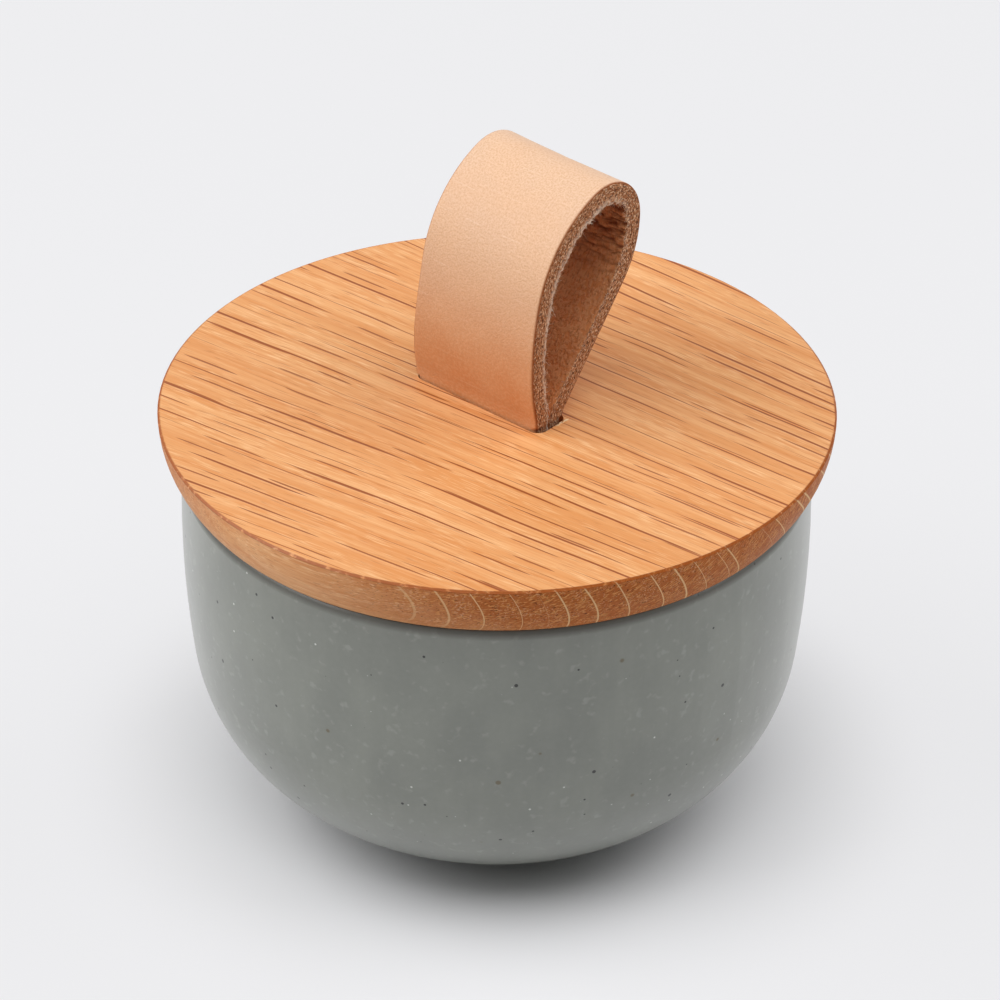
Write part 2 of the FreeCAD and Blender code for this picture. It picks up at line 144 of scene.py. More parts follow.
PITH_ACROSS = -85.0
PITH_UP = 165.0
RAY_REACH = 110.0
RING_WIDTH = 3.1
GRAIN_TILT = 0.073
GRAIN_FAN = 0.0016


def ray_lines(tree, along, around, apart, run, least, half_width, most, seed):
    """Spindles along the grain, where the wood's rays come to the surface: 0 to most.

    They lie in rows that are apart millimetres from each other. Each run of millimetres along a row has
    one, which takes at least the share least of it and is up to half_width millimetres to each side.
    """
    rows = add(tree, "Math", {0: around, 1: apart}, operation="DIVIDE")
    row = add(tree, "Math", {0: rows}, operation="FLOOR")
    across = add(tree, "Math", {0: rows}, operation="FRACT")
    begun = add(tree, "TexWhiteNoise", {"W": row}, noise_dimensions="1D")
    begun = add(tree, "Math", {0: begun, 1: 7.0, 2: seed}, operation="MULTIPLY_ADD")
    runs = add(tree, "Math", {0: along, 1: 1 / run, 2: begun}, operation="MULTIPLY_ADD")
    cell = add(tree, "Math", {0: runs}, operation="FLOOR")
    within = add(tree, "Math", {0: runs}, operation="FRACT")
    label = add(tree, "CombineXYZ", {"X": row, "Y": cell, "Z": seed})
    chance = add(tree, "TexWhiteNoise", {"Vector": label}, noise_dimensions="3D").outputs["Color"]
    draw = add(tree, "SeparateColor", {"Color": chance}).outputs
    middle = add(tree, "MapRange", {"Value": draw["Red"], "To Min": 0.25, "To Max": 0.75})
    reach = add(tree, "MapRange", {"Value": draw["Green"], "To Min": least / 2, "To Max": 0.5})
    weight = add(tree, "MapRange", {"Value": draw["Blue"], "From Min": 0.1, "From Max": 0.7, "To Min": 0.3})
    off_middle = add(tree, "Math", {0: within, 1: 0.5}, operation="SUBTRACT")
    taper = add(tree, "Math", {0: off_middle, 1: reach}, operation="DIVIDE")
    taper = add(tree, "Math", {0: taper, 1: 4.0}, operation="POWER")
    taper = add(tree, "Math", {0: 1.0, 1: taper}, operation="SUBTRACT", use_clamp=True)
    width = add(tree, "Math", {0: taper, 1: weight}, operation="MULTIPLY")
    aside = add(tree, "Math", {0: across, 1: middle}, operation="SUBTRACT")
    aside = add(tree, "Math", {0: aside}, operation="ABSOLUTE")
    aside = add(tree, "Math", {0: aside, 1: apart / half_width}, operation="MULTIPLY")
    inside = add(tree, "Math", {0: width, 1: aside}, operation="SUBTRACT")
    return add(tree, "MapRange", {"Value": inside, "From Max": 0.3, "To Max": most})


def oiled_oak():
    """Oiled white oak: orange tan, with dark spindle lines on its face and cream rays on its end grain."""
    material, tree = bare_finish("oiled_oak")
    place = place_in_mm(tree)
    along, across, up = (add(tree, "SeparateXYZ", {"Vector": place}).outputs[axis] for axis in "XYZ")
    facing = add(tree, "SeparateXYZ", {"Vector": add(tree, "TexCoord").outputs["Normal"]}).outputs

    # The board's own directions: along the grain, round the pith by rays, and out from the pith by rings
    slant = add(tree, "Math", {0: across, 1: GRAIN_FAN, 2: -GRAIN_TILT}, operation="MULTIPLY_ADD")
    straight = add(tree, "Math", {0: slant, 1: along, 2: across}, operation="MULTIPLY_ADD")
    slow = add(tree, "VectorMath", {0: place, 1: (45, 30, 30)}, operation="DIVIDE")
    wander = add(tree, "TexNoise", {"Vector": slow, "Scale": 1.0, "Detail": 2.0})
    sway = {"Value": wander, "To Min": -1.0 - PITH_ACROSS, "To Max": 1.0 - PITH_ACROSS}
    wander = add(tree, "MapRange", sway)
    aside = add(tree, "Math", {0: straight, 1: wander}, operation="ADD")
    below = add(tree, "Math", {0: PITH_UP, 1: up}, operation="SUBTRACT")
    turn = add(tree, "Math", {0: aside, 1: below}, operation="ARCTAN2")
    around = add(tree, "Math", {0: turn, 1: RAY_REACH}, operation="MULTIPLY")
    spoke = add(tree, "CombineXYZ", {"X": aside, "Y": below})
    ring = add(tree, "VectorMath", {0: spoke}, operation="LENGTH").outputs["Value"]
    board = add(tree, "CombineXYZ", {"X": along, "Y": around, "Z": ring})

    # How far the surface is a face of the board, and how far its end grain
    level = add(tree, "Math", {0: facing["Z"]}, operation="ABSOLUTE")
    face = add(tree, "MapRange", {"Value": level, "From Min": 0.72, "From Max": 0.9})
    endwise = add(tree, "Math", {0: facing["X"]}, operation="ABSOLUTE")
    end_grain = add(tree, "MapRange", {"Value": endwise, "From Min": 0.1, "From Max": 0.65, "To Max": 0.85})
    year = add(tree, "Math", {0: ring, 1: RING_WIDTH}, operation="DIVIDE")
    year = add(tree, "Math", {0: year}, operation="FRACT")
    early = add(tree, "MapRange", {"Value": year, "From Min": 0.55, "From Max": 0.05, "To Max": 0.2})

    # Broad bands, finer streaks and fibres; pores that are pale where filled and dark where open.
    # Real fibres are far finer, and are drawn 0.3 mm across so that they show.
    plank = add(tree, "CombineXYZ", {"X": along, "Y": aside, "Z": up})
    shifted = add(tree, "VectorMath", {0: plank, 1: (71, 13, 5)}, operation="ADD")
    broad = mottle(tree, board, (150, 8, 6), 0.32, 0.68)
    streak = mottle(tree, plank, (60, 1.3, 1.3), 0.34, 0.68, 0.5)
    shade = mottle(tree, shifted, (60, 1.0, 1.0), 0.48, 0.7, 0.7)
    fibre = mottle(tree, plank, (11, 0.3, 0.3), 0.38, 0.66, 0.42)
    bands = mottle(tree, plank, (40, 2.2, 2.2), 0.36, 0.6, 0.32)
    flecks = mottle(tree, plank, (4.2, 0.22, 0.22), 0.53, 0.68, bands, 1.0)
    pores = mottle(tree, shifted, (4.5, 0.22, 0.22), 0.6, 0.72, 0.4, 1.0)

    # Rays: dark spindles on the face, cream lines on the end grain, where rows of pores follow the rings
    long_rays = ray_lines(
        tree, along, aside, apart=3.5, run=52.0, least=0.45, half_width=0.27, most=0.95, seed=3.0)
    short_rays = ray_lines(
        tree, along, aside, apart=4.3, run=19.0, least=0.35, half_width=0.22, most=0.85, seed=11.0)
    face_rays = add(tree, "Math", {0: long_rays, 1: short_rays}, operation="MAXIMUM")
    face_rays = add(tree, "Math", {0: face_rays, 1: face}, operation="MULTIPLY")
    end_rays = ray_lines(
        tree, along, around, apart=2.9, run=4000.0, least=1.0, half_width=0.14, most=0.85, seed=23.0)
    cut_across = add(tree, "MapRange", {"Value": endwise, "From Min": 0.3, "From Max": 0.6})
    end_rays = add(tree, "Math", {0: end_rays, 1: cut_across}, operation="MULTIPLY")
    dashes = mottle(tree, board, (0.7, 1.5, 0.24), 0.52, 0.66, end_grain, 1.0)
    dashes = add(tree, "Math", {0: dashes, 1: 0.8}, operation="MULTIPLY")
    hollows = mottle(tree, board, (0.5, 0.6, 0.2), 0.38, 0.3, end_grain, 1.0)

    # The crisp corner round the top, where oil has soaked in
    flat = add(tree, "CombineXYZ", {"X": along, "Y": across})
    from_middle = add(tree, "VectorMath", {0: flat}, operation="LENGTH").outputs["Value"]
    out = {"Value": from_middle, "From Min": LID_RADIUS - 0.5, "From Max": LID_RADIUS - 0.25}
    out["To Max"] = mottle(tree, place, (1.2, 1.2, 0.6), 0.25, 0.5, 0.9)
    high = {"Value": up, "From Min": LID_TOP - 0.5, "From Max": LID_TOP - 0.3}
    high["To Max"] = add(tree, "MapRange", out)
    corner = add(tree, "MapRange", high)

    colour = paint(
        tree, "#D59156",
        (broad, "#DEA169"), (streak, "#EAB581"), (shade, "#D08648"), (early, "#C97F42"),
        (fibre, "#D58D4F"), (end_grain, "#A85218"), (flecks, "#FFDDAE"), (pores, "#A05C28"),
        (dashes, "#DC9C5A"), (hollows, "#5A2A0A"), (face_rays, "#8A400E"), (end_rays, "#E6BF8C"),
        (corner, "#964A10"))
    rough = add(tree, "MapRange", {"Value": broad, "To Min": 0.48, "To Max": 0.58})
    dents = add(tree, "Math", {0: face_rays, 1: pores}, operation="MAXIMUM")
    relief = add(tree, "Math", {0: fibre, 1: dents}, operation="SUBTRACT")
    bump = add(tree, "Bump", {"Height": relief, "Distance": 0.05 * MM, "Strength": 0.35})
    gleam = add(tree, "MapRange", {"Value": end_grain, "From Max": 0.85, "To Min": 0.5, "To Max": 0.12})
    oak = add(tree, "BsdfPrincipled", {
        "Base Color": colour, "Roughness": rough, "Normal": bump, "IOR": 1.47, "Specular IOR Level": gleam})
    add(tree, "OutputMaterial", {"Surface": oak})
    return material


# Stoneware: thrown, dipped in a satin grey-green glaze and fired

def specks(tree, place, apart, least, most, soft, strength):
    """Round specks in the clay, with radii from least to most, about apart millimetres from each other."""
    scaled = add(tree, "VectorMath", {0: place, "Scale": 1 / apart}, operation="SCALE")
    cells = add(tree, "TexVoronoi", {"Vector": scaled, "Scale": 1.0})
    chance = add(tree, "SeparateColor", {"Color": cells.outputs["Color"]}).outputs["Red"]
    radius = add(tree, "MapRange", {"Value": chance, "To Min": least / apart, "To Max": most / apart})
    inside = add(tree, "Math", {0: radius, 1: cells.outputs["Distance"]}, operation="SUBTRACT")
    return add(tree, "MapRange", {"Value": inside, "From Max": soft / apart, "To Max": strength})


def satin_glaze():
    """Satin stoneware glaze: grey green and softly clouded, with iron specks and pale pinpoints."""
    material, tree = bare_finish("satin_glazed_stoneware")
    place = place_in_mm(tree)
    cloud = mottle(tree, place, (9, 9, 14), 0.3, 0.7)
    fine = mottle(tree, place, (1.0, 1.0, 1.0), 0.35, 0.7, 0.08)
    freckles = mottle(tree, place, (1.6, 1.6, 1.6), 0.58, 0.76, 0.35)
    drift = mottle(tree, place, (1.8, 1.8, 30), 0.35, 0.7, 0.2)
    further = add(tree, "VectorMath", {0: place, 1: (40, 17, 5)}, operation="ADD")
    beside = add(tree, "VectorMath", {0: place, 1: (0.5, 0.4, 0.3)}, operation="ADD")
    olive = specks(tree, further, apart=11.0, least=0.35, most=0.6, soft=0.2, strength=0.85)
    iron = specks(tree, place, apart=3.7, least=0.02, most=0.38, soft=0.05, strength=1.0)
    pale = specks(tree, further, apart=3.7, least=0.0, most=0.25, soft=0.1, strength=0.7)
    halo = specks(tree, beside, apart=3.7, least=0.0, most=0.2, soft=0.1, strength=0.5)

    # The underside of the foot ring is wiped bare. Over the rim the glaze is painted dark and made rougher,
    # as painted shade under the lid's edge
    height = add(tree, "SeparateXYZ", {"Vector": place}).outputs["Z"]
    bare = add(tree, "MapRange", {"Value": height, "From Min": 0.95, "From Max": 0.7})
    # Painted shade: the dark band over the rim stands in for the shade under the lid
    painted_rim_shade = {"Value": height, "From Min": RIM_TOP - 2.2, "From Max": RIM_TOP - 1.2, "To Max": 0.8}
    painted_rim_shade = add(tree, "MapRange", painted_rim_shade)
    colour = paint(
        tree, "#797C74",
        (cloud, "#81847B"), (fine, "#949790"), (freckles, "#A0A39A"), (drift, "#757870"),
        (olive, "#5F5130"), (pale, "#E4E5E0"), (halo, "#D2D4CE"), (iron, "#0E0D0B"), (painted_rim_shade, "#3E3C35"),
        (bare, "#B5A68F"))
    dull = add(tree, "Math", {0: bare, 1: painted_rim_shade}, operation="MAXIMUM")
    rough = add(tree, "MapRange", {"Value": dull, "To Min": 0.29, "To Max": 0.7})
    skin = add(tree, "Math", {0: drift, 1: fine}, operation="ADD")
    bump = add(tree, "Bump", {"Height": skin, "Distance": 0.02 * MM, "Strength": 0.05})
    glaze = add(tree, "BsdfPrincipled", {
        "Base Color": colour, "Roughness": rough, "Normal": bump, "IOR": 1.52,
        "Coat Weight": 0.5, "Coat Roughness": 0.25, "Coat IOR": 1.52})
    add(tree, "OutputMaterial", {"Surface": glaze})
    return material


def moulded_silicone():
    """Moulded silicone rubber: milky and soft, dulled by a fine dust."""
    material, tree = bare_finish("moulded_silicone")
    dust = mottle(tree, place_in_mm(tree), (1.2, 1.2, 1.2), 0.35, 0.7, 1.0, 3.0)
    colour = paint(tree, "#DCD9D0", (dust, "#E9E7E0"))
    rough = add(tree, "MapRange", {"Value": dust, "To Min": 0.42, "To Max": 0.58})
    bump = add(tree, "Bump", {"Height": dust, "Distance": 0.02 * MM, "Strength": 0.3})
    rubber = add(tree, "BsdfPrincipled", {
        "Base Color": colour, "Roughness": rough, "Normal": bump, "IOR": 1.41,
        "Subsurface Weight": 0.25, "Subsurface Scale": 2 * MM})
    add(tree, "OutputMaterial", {"Surface": rubber})
    return material


def turned_beech():
    """Turned beech: even pinkish tan with short brown ray flecks along the rod."""
    material, tree = bare_finish("turned_beech")
    place = place_in_mm(tree)
    bands = mottle(tree, place, (1.6, 40, 1.6), 0.3, 0.7)
    flecks = mottle(tree, place, (0.25, 2.2, 0.25), 0.6, 0.72, 0.6, 1.0)
    colour = paint(tree, "#CFA57C", (bands, "#DDB78F"), (flecks, "#9A6A42"))
    rough = add(tree, "MapRange", {"Value": bands, "To Min": 0.5, "To Max": 0.62})
    bump = add(tree, "Bump", {"Height": flecks, "Distance": 0.03 * MM, "Strength": 0.3}, invert=True)
    beech = add(tree, "BsdfPrincipled", {
        "Base Color": colour, "Roughness": rough, "Normal": bump, "IOR": 1.47})
    add(tree, "OutputMaterial", {"Surface": beech})
    return material


# Leather: vegetable tanned, smooth on the grain side, napped on the flesh side, raw where it is cut

def grain_side():
    """Grain side of vegetable tanned cowhide: smooth, pale at the bend, tanner and redder near the lid,
    partly its own tone and partly painted shade.
    """
    material, tree = bare_finish("tanned_leather_grain")
    place = add(tree, "Attribute", attribute_name="strap_place").outputs["Vector"]
    across, along = (add(tree, "SeparateXYZ", {"Vector": place}).outputs[axis] for axis in "XY")
    height = add(tree, "SeparateXYZ", {"Vector": place_in_mm(tree)}).outputs["Z"]
    # Darker and redder towards the lid: partly the leather's tone, partly painted shade and a painted
    # orange glow from the oak below
    below_bend = {"Value": height, "From Min": LID_TOP + 39, "From Max": LID_TOP + 34}
    below_bend = add(tree, "MapRange", below_bend, interpolation_type="SMOOTHSTEP")
    low = {"Value": height, "From Min": LID_TOP + 28, "From Max": LID_TOP + 2}
    low = add(tree, "MapRange", low, interpolation_type="SMOOTHSTEP")

    # Real pores are finer than the render can show, so they are drawn at 0.3 mm
    cloud = mottle(tree, place, (11, 9, 9), 0.3, 0.7, 0.3)
    pores = mottle(tree, place, (0.3, 0.3, 0.3), 0.42, 0.64, 0.42)
    hair = mottle(tree, place, (0.6, 0.5, 0.6), 0.4, 0.65, 0.16)
    scratches = ray_lines(
        tree, across, along, apart=6.7, run=9.0, least=0.2, half_width=0.1, most=0.18, seed=23.0)
    from_middle = add(tree, "Math", {0: across}, operation="ABSOLUTE")
    edge = {"Value": from_middle, "From Min": STRAP_HALF - 0.4, "From Max": STRAP_HALF - 0.1}
    edge["To Max"] = 0.75
    colour = paint(
        tree, "#E0BC9E",
        (below_bend, "#DAAE8A"), (low, "#CF864F"), (cloud, "#E6B68C"), (hair, "#F3D2B4"),
        (pores, "#C68E62"), (scratches, "#F6DCC2"), (add(tree, "MapRange", edge), "#A05A28"))
    rough = add(tree, "MapRange", {"Value": cloud, "To Min": 0.46, "To Max": 0.62})
    relief = add(tree, "Math", {0: hair, 1: pores}, operation="SUBTRACT")
    bump = add(tree, "Bump", {"Height": relief, "Distance": 0.1 * MM, "Strength": 0.5})
    skin = add(tree, "BsdfPrincipled", {
        "Base Color": colour, "Roughness": rough, "Normal": bump, "IOR": 1.5})
    add(tree, "OutputMaterial", {"Surface": skin})
    return material


def cut_edge():
    """Raw cut edge of thick leather: packed brown fibres with pale ends, whitish along the flesh side."""
    material, tree = bare_finish("raw_leather_edge")
    place = add(tree, "Attribute", attribute_name="strap_place").outputs["Vector"]
    along, depth = (add(tree, "SeparateXYZ", {"Vector": place}).outputs[axis] for axis in "YZ")
    clumps = mottle(tree, place, (0.8, 2.0, 0.5), 0.34, 0.66, 1.0, 3.0)
    ends = mottle(tree, place, (0.4, 0.5, 0.24), 0.51, 0.62, 0.8)
    gaps = mottle(tree, place, (0.4, 0.6, 0.28), 0.49, 0.39, 0.85)

    # The whitish corner is plain on the front leaf and faint on the back one
    leaf = {"Value": along, "From Min": 62.0, "From Max": 78.0, "To Min": 0.8, "To Max": 0.1}
    inner = {"Value": depth, "From Min": LEATHER - 1.0, "From Max": LEATHER - 0.15}
    inner["To Max"] = add(tree, "MapRange", leaf)
    inner = mottle(tree, place, (0.5, 0.8, 0.5), 0.3, 0.55, add(tree, "MapRange", inner))
    skin = add(tree, "MapRange", {"Value": depth, "From Min": 0.45, "From Max": 0.15, "To Max": 0.8})
    colour = paint(
        tree, "#9C5E34",
        (clumps, "#B87E54"), (ends, "#EECAA4"), (gaps, "#54280F"), (inner, "#EEDAC6"), (skin, "#9A5220"))
    relief = add(tree, "Math", {0: clumps, 1: ends}, operation="ADD")
    bump = add(tree, "Bump", {"Height": relief, "Distance": 0.2 * MM, "Strength": 0.6})
    fibre = add(tree, "BsdfPrincipled", {
        "Base Color": colour, "Roughness": 0.9, "Normal": bump, "IOR": 1.45})
    add(tree, "OutputMaterial", {"Surface": fibre})
    return material


def flesh_side():
    """Napped flesh side: brown suede, with painted shade in the creases of the bend."""
    material, tree = bare_finish("napped_leather_flesh")
    place = add(tree, "Attribute", attribute_name="strap_place").outputs["Vector"]
    crease = add(tree, "Attribute", attribute_name="crease").outputs["Fac"]
    cloud = mottle(tree, place, (5, 4, 4), 0.3, 0.7)
    nap = mottle(tree, place, (0.6, 0.7, 0.6), 0.38, 0.6, 0.7, 4.0)
    stray = mottle(tree, place, (0.4, 1.2, 0.4), 0.54, 0.68, 0.4)
    # The crease colour is painted shade in the folds under the bend
    colour = paint(
        tree, "#CC824E",
        (cloud, "#D8925C"), (nap, "#DA9E6E"), (stray, "#824820"), (crease, "#7C3C18"))
    bump = add(tree, "Bump", {"Height": nap, "Distance": 0.3 * MM, "Strength": 0.8})
    suede = add(tree, "BsdfPrincipled", {
        "Base Color": colour, "Roughness": 0.95, "Normal": bump, "IOR": 1.45})
    add(tree, "OutputMaterial", {"Surface": suede})
    return material


def loose_fibre(name, dark, pale):
    """Loose fibres, of leather or of torn oak: pale, each strand a little different."""
    material, tree = bare_finish(name)
    strands = mottle(tree, place_in_mm(tree), (0.8, 0.8, 0.8), 0.3, 0.7)
    colour = paint(tree, dark, (strands, pale))
    fibre = add(tree, "BsdfPrincipled", {"Base Color": colour, "Roughness": 0.7, "IOR": 1.5})
    add(tree, "OutputMaterial", {"Surface": fibre})
    return material


# The strap's middle line, seen along the slot, in millimetres across and up from the flex line

STEEP_ARC = 46.0
STEEP_MIDDLE = 11.0
SHOULDER_ARC = 21.0
CURL_ARC = 8.6
CURL_MIDDLE = Vector((12.65, 28.15))
SLANT_ARC = 17.5
FRONT_BEND = 12.0
BACK_BEND = 3.45
STATION = 0.28
UP = math.pi / 2


def advance(point, heading, length, turn):
    """Where a walker comes to who goes length from point while turning evenly by turn."""
    chord = length if abs(turn) < 1e-9 else 2 * length / turn * math.sin(turn / 2)
    middle = heading + turn / 2
    return point + chord * Vector((math.cos(middle), math.sin(middle)))


def walk(point, heading, moves):
    """Stations along a path of straight runs and arcs: (point, heading, length so far)."""
    stations = []
    gone = 0.0
    for length, turn in moves:
        count = max(1, round(length / STATION))
        for i in range(count):
            part = i / count
            stations.append((advance(point, heading, length * part, turn * part),
                             heading + turn * part, gone + length * part))
        point = advance(point, heading, length, turn)
        heading += turn
        gone += length
    return stations + [(point, heading, gone)]


def bearing(start, end):
    """The direction from start to end, in radians."""
    return math.atan2(end.y - start.y, end.x - start.x)


def third_corner(first, second, from_first, from_second):
    """The corner, left of the line from first to second, that lies at these distances from the two."""
    apart = (second - first).length
    foot = (apart ** 2 + from_first ** 2 - from_second ** 2) / (2 * apart)
    rise = math.sqrt(from_first ** 2 - foot ** 2)
    ahead = (second - first) / apart
    return first + ahead * foot + Vector((-ahead.y, ahead.x)) * rise


def strap_stations():
    """The strap's whole run: up through the slot, over the loop and down through the slot again."""
    half = LEATHER / 2
    root = TAIL_OUT + half
    steep = Vector((math.sqrt((STEEP_ARC - root) ** 2 - STEEP_MIDDLE ** 2), STEEP_MIDDLE))
    shoulder = third_corner(steep, CURL_MIDDLE, STEEP_ARC - SHOULDER_ARC, SHOULDER_ARC - CURL_ARC)
    slant = CURL_MIDDLE - Vector((SLANT_ARC - CURL_ARC, 0))

    # Front bend: from the upright tail into the steep leaf
    bend_reach = STEEP_ARC - half + FRONT_BEND
    bend_out = TAIL_OUT + FRONT_BEND
    bend_up = steep.y - math.sqrt(bend_reach ** 2 - (steep.x + bend_out) ** 2)
    lean = bearing(Vector((-bend_out, bend_up)), steep)
    tail_foot = TAIL_BOTTOM - FLEX_UP

    # Headings where one arc hands over to the next, all turning clockwise over the loop
    headings = [UP + lean, bearing(steep, shoulder) - UP, bearing(shoulder, CURL_MIDDLE) - UP, -UP]
    headings[1:3] = [h % (2 * math.pi) for h in headings[1:3]]
    leaf_tilt = bearing(Vector((0, 0)), slant) - math.asin((SLANT_ARC - root) / slant.length)
    headings.append(leaf_tilt - math.pi)
    radii = [arc - half for arc in (STEEP_ARC, SHOULDER_ARC, CURL_ARC, SLANT_ARC)]
    moves = [(bend_up - tail_foot, 0.0), (FRONT_BEND * lean, lean)]
    for radius, before, after in zip(radii, headings, headings[1:]):
        moves.append((radius * (before - after), after - before))

    # Back leaf, straight down to the slot, and the bend into its upright tail
    last_turn = -UP - headings[-1]
    setback = BACK_BEND * math.tan(last_turn / 2)
    fold = Vector((TAIL_OUT, -TAIL_OUT * math.tan(last_turn / 2)))
    leaf_top = slant + radii[-1] * Vector((math.cos(headings[-1] + UP), math.sin(headings[-1] + UP)))
    moves.append(((leaf_top - fold).length - setback, 0.0))
    moves.append((BACK_BEND * last_turn, last_turn))
    moves.append((fold.y - setback - tail_foot, 0.0))
    return walk(Vector((-TAIL_OUT, tail_foot)), UP, moves)


# The strap's section, and how it departs from a plain strip

# Radii of its corners: on the grain side above and in the slot, on the flesh side above and at the seam
GRAIN_ROUND = 0.4
SLOT_ROUND = 1.55
FLESH_ROUND = 0.3
SEAM_ROUND = 0.8
# How far the loop narrows, shifts to the right and rises along its far edge
DRAWN_IN = 1.5
SIDLE = 0.3
FAR_LIFT = 0.5
# How far the flesh side swells under the bend, the raw edge frays and the creases cut in
SWELL = 0.7
FRAY = 0.16
CREASE = 0.5
# Heights above the lid: clear of the slot, the seam, the narrowing, the bend, and the end of the flexing
SUNK = 0.9
SEAM_LOW = 2.0
SEAM_HIGH = 9.0
NARROWED = 22.0
BEND_LOW = 15.0
BEND_HIGH = 29.0
# The right end of the slot, which leaves the strap this clear, and the splinters there
SLOT_CLEAR = 0.8
SLOT_END = STRAP_RIGHT + SLOT_CLEAR
SPLINTERS = 9


def smooth_step(value, start, end):
    """The share of the way from start to end that value has come, eased at both ends."""
    share = min(1.0, max(0.0, (value - start) / (end - start)))
    return share * share * (3 - 2 * share)


def ripple(*place):
    """Gentle random relief from -1 to 1, the same on every run."""
    return noise.noise(Vector(place))


def rounded(across, depth, grain_round, flesh_round):
    """A point of the strap's section, with its four corners rounded."""
    near_grain = depth < LEATHER / 2
    corner = grain_round if near_grain else flesh_round
    pivot = Vector((math.copysign(STRAP_HALF - corner, across), corner if near_grain else LEATHER - corner))
    away = Vector((across, depth)) - pivot
    beyond = abs(across) > STRAP_HALF - corner and (depth < corner or depth > LEATHER - corner)
    if beyond and away.length > 0:
        away *= max(abs(away.x), abs(away.y)) / away.length
        return pivot + away
    return Vector((across, depth))


def strap_point(station, across, depth):
    """A point of the strap in the frame, its place on the strap, and how far it lies in a crease."""
    middle, heading, along = station
    height = middle.y + FLEX_UP - LID_TOP
    pressed = 1 - smooth_step(height, 0.0, SUNK)
    joined = 1 - smooth_step(height, SEAM_LOW, SEAM_HIGH)
    grain_round = GRAIN_ROUND + (SLOT_ROUND - GRAIN_ROUND) * pressed
    section = rounded(across, depth, grain_round, FLESH_ROUND + (SEAM_ROUND - FLESH_ROUND) * joined)

    # The raw edge frays above the slot, most of all along its flesh corner
    edge = smooth_step(abs(across), STRAP_HALF - 0.5, STRAP_HALF)
    flesh = smooth_step(depth, LEATHER * 0.5, LEATHER)
    raw = edge * smooth_step(depth, 0.15, 0.9) * (1 - pressed)
    tufts = ripple(along / 0.75, depth / 0.5, across)
    hairs = ripple(along / 0.3, depth / 0.3, across + 9)
    fray = 0.65 * tufts + 0.5 * hairs
    section.x += math.copysign(FRAY * raw * fray, across)
    section.y += 0.3 * edge * flesh * ripple(along / 0.6, 3.0, across)

    # Under the bend the flesh side swells and gathers in folds with sharp creases between them
    bent = smooth_step(height, BEND_LOW, BEND_HIGH)
    waver = 0.7 * ripple(along / 3, across / 4, 2.0) + 0.4 * ripple(along / 1.3, across / 1.6, 7.0)
    gather = abs(ripple(along / 1.9 + waver, across / 16, 5.0))
    fine = abs(ripple(along / 0.9 + 2 * waver, across / 5, 8.0))
    crease = bent * max(1 - smooth_step(gather, 0.0, 0.2), 0.5 - smooth_step(fine, 0.0, 0.25))
    section.y += flesh * (SWELL * bent - CREASE * crease)
    section.y += 0.05 * (1 - edge) * ripple(along / 8, across / 8, 12.0)

    # Towards the bend the strap narrows from its far side, and there it stands a little higher
    risen = smooth_step(height, 0.0, NARROWED)
    drawn = 1 - DRAWN_IN / (2 * STRAP_HALF) * risen
    lift = FAR_LIFT * bent * max(0.0, -across / STRAP_HALF)
    outward = LEATHER / 2 - section.y
    y = middle.x - math.sin(heading) * outward
    z = middle.y + math.cos(heading) * outward + FLEX_UP + lift
    point = Vector((STRAP_RIGHT + SIDLE * risen + (section.x - STRAP_HALF) * drawn, y, z)) * MM
    return point, Vector((across, along, depth)), max(0.0, crease)


def spread(half):
    """Places from one edge of the strap to the other, a millimetre apart and closer at the edges."""
    right = [half - step for step in (0.0, 0.13, 0.4, 0.8, 1.2, 1.6)]
    right += [half - 2.4 - i for i in range(int(half - 2.4))]
    return [-place for place in right] + [0.0] + right[::-1]


def leather_strap(finishes):
    """One strip of leather: its section swept along the run, with grain, cut edges and flesh side."""
    stations = strap_stations()
    columns = spread(STRAP_HALF)
    rows = [LEATHER * share for share in (0, 0.04, 0.125, 0.25, 0.4, 0.55, 0.7, 0.82, 0.91, 0.97, 1)]
    last_column, last_row = len(columns) - 1, len(rows) - 1
    ring = [(k, 0) for k in range(last_column)]
    ring += [(last_column, m) for m in range(last_row)]
    ring += [(k, last_row) for k in range(last_column, 0, -1)]
    ring += [(0, m) for m in range(last_row, 0, -1)]
    points, places, creases, faces, kinds = [], [], [], [], []

    def put(station, k, m):
        point, place, crease = strap_point(station, columns[k], rows[m])
        points.append(point)
        places.append(place)
        creases.append(crease)
        return len(points) - 1

    loops = [[put(station, k, m) for k, m in ring] for station in stations]
    for near, far in zip(loops, loops[1:]):
        for j in range(len(ring)):
            after = (j + 1) % len(ring)
            faces.append((near[j], near[after], far[after], far[j]))
            levels = {ring[j][1], ring[after][1]}
            kinds.append(0 if levels == {0} else 2 if levels == {last_row} else 1)
    for station, loop, flip in ((stations[0], loops[0], 1), (stations[-1], loops[-1], -1)):
        grid = {spot: loop[j] for j, spot in enumerate(ring)}
        for k in range(1, last_column):
            for m in range(1, last_row):
                grid[k, m] = put(station, k, m)
        for k in range(last_column):
            for m in range(last_row):
                quad = (grid[k, m], grid[k, m + 1], grid[k + 1, m + 1], grid[k + 1, m])
                faces.append(quad[::flip])
                kinds.append(1)
    strap = new_piece("leather_strap", points, faces, finishes, kinds)
    layer = strap.data.attributes.new("strap_place", "FLOAT_VECTOR", "POINT")
    layer.data.foreach_set("vector", [number for place in places for number in place])
    layer = strap.data.attributes.new("crease", "FLOAT", "POINT")
    layer.data.foreach_set("value", creases)
    return strap


def new_piece(name, points, faces, finishes, kinds):
    """A smooth-shaded mesh in the scene."""
    mesh = bpy.data.meshes.new(name)
    mesh.from_pydata(points, [], faces)
    for finish in finishes:
        mesh.materials.append(finish)
    mesh.polygons.foreach_set("material_index", kinds)
    mesh.polygons.foreach_set("use_smooth", [True] * len(faces))
    piece = bpy.data.objects.new(name, mesh)
    bpy.context.scene.collection.objects.link(piece)
    return piece


